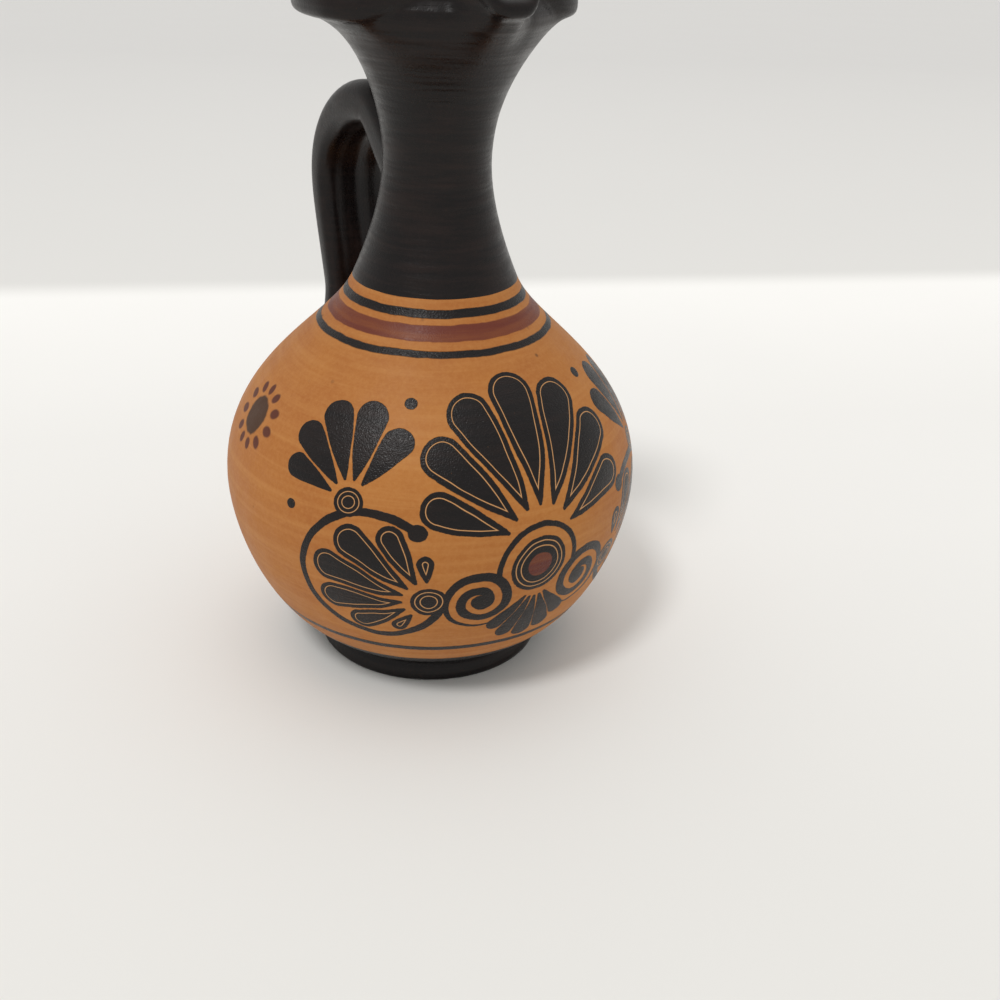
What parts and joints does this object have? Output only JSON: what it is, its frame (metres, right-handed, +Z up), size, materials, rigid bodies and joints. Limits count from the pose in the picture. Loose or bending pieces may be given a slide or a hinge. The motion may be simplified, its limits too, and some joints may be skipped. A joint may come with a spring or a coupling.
{
  "type": "trefoil mouth pottery jug",
  "caption": "Small round-bodied pottery jug with a flared trefoil pouring mouth, a slim neck, an arched strap handle and a foot ring.",
  "frame": {"origin": "middle of the plane that the foot ring rests on", "axes": "+Z up along the vessel's axis, -Y towards the pouring spout, +Y towards the handle"},
  "size_m": [0.0654, 0.0654, 0.1068],
  "materials": {
    "painted_clay": "satin fired clay, burnished orange, with painted black and maroon slip",
    "black_slip": "satin brownish black slip over fired clay"
  },
  "bodies": {
    "root": {"foot_ring": "black_slip", "body": "painted_clay", "neck_and_mouth": "black_slip", "handle": "black_slip"}
  },
  "joints": []
}
